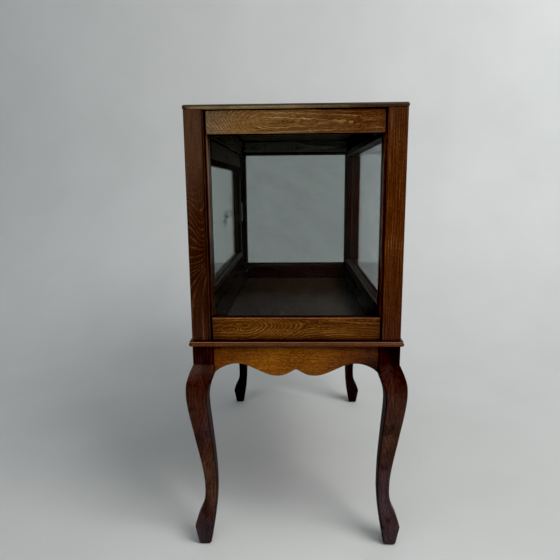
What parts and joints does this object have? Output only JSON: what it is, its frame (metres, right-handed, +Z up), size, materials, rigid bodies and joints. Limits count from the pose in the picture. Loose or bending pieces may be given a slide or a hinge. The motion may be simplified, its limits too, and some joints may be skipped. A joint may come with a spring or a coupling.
{
  "type": "glazed tea table",
  "caption": "Tall narrow tea table in dark-stained timber: a glass-sided display case with a lockable glazed side door on scalloped aprons and slender cabriole legs.",
  "frame": {"origin": "on the floor, under the middle of the table", "axes": "+X across the narrow way with the glazed door on the -X side, +Y along the table with the door hung at the -Y end, +Z up"},
  "size_m": [0.395, 0.687, 0.802],
  "materials": {
    "case_timber": "dark reddish-brown stain under satin lacquer, straight to wavy grain",
    "board_timber": "dark brown stain under satin lacquer, worn lighter on the nosing",
    "stand_timber": "dark brown stain under satin lacquer, golden on the aprons and near black at the feet",
    "hidden_timber": "plain unfinished timber",
    "pane_glass": "clear thin sheet glass, faintly grey-green",
    "fitting_brass": "aged brass, softly polished",
    "fitting_steel": "dulled steel"
  },
  "bodies": {
    "case": {"post_near_left": "case_timber", "post_near_right": "case_timber", "post_far_left": "case_timber", "post_far_right": "case_timber", "end_rail_top_near": "case_timber", "end_rail_top_far": "case_timber", "end_rail_low_near": "case_timber", "end_rail_low_far": "case_timber", "side_rail_top_left": "case_timber", "side_rail_top_right": "case_timber", "side_rail_low_left": "case_timber", "side_rail_low_right": "case_timber", "stop_strips_far": "case_timber", "glazing_beads_near": "case_timber", "glazing_beads_far": "case_timber", "glazing_beads_right": "case_timber", "door_stops": "case_timber", "top_board": "board_timber", "base_board": "board_timber", "leg_near_left": "stand_timber", "leg_near_right": "stand_timber", "leg_far_left": "stand_timber", "leg_far_right": "stand_timber", "end_apron_near": "stand_timber", "end_apron_far": "stand_timber", "side_apron_left": "stand_timber", "side_apron_right": "stand_timber", "glue_blocks": "hidden_timber", "corner_dowels": "hidden_timber", "top_dowels": "hidden_timber", "glass_near": "pane_glass", "glass_far": "pane_glass", "glass_right": "pane_glass", "hinge_leaves_case": "fitting_brass", "hinge_pins": "fitting_brass", "hinge_screws_case": "fitting_brass", "strike_plate": "fitting_brass", "strike_screws": "fitting_brass", "base_screws": "fitting_steel", "door_stop_screws": "fitting_steel"},
    "door": {"door_stile_near": "case_timber", "door_stile_far": "case_timber", "door_rail_top": "case_timber", "door_rail_low": "case_timber", "door_glazing_beads": "case_timber", "door_glass": "pane_glass", "hinge_leaves_door": "fitting_brass", "hinge_screws_door": "fitting_brass", "escutcheon": "fitting_brass", "escutcheon_pins": "fitting_brass", "lock_case": "fitting_steel", "lock_screws": "fitting_steel"},
    "bolt": {"lock_bolt": "fitting_brass"},
    "key": {"door_key": "fitting_steel"}
  },
  "joints": [
    {"name": "door_swing", "type": "hinge", "parent": "case", "child": "door", "pos_m": [-0.182, -0.2925, 0.5985], "axis": [0, 0, 1], "range_deg": [0, 120]},
    {"name": "key_turn", "type": "hinge", "parent": "door", "child": "key", "pos_m": [-0.165, 0.273, 0.592], "axis": [-1, 0, 0], "range_deg": [0, 180]},
    {"name": "bolt_throw", "type": "slide", "parent": "door", "child": "bolt", "axis": [0, 1, 0], "range_m": [0, 0.008]}
  ],
  "couplings": [
    {"joint": "bolt_throw", "follows": "key_turn", "m_per_rad": 0.002545}
  ]
}
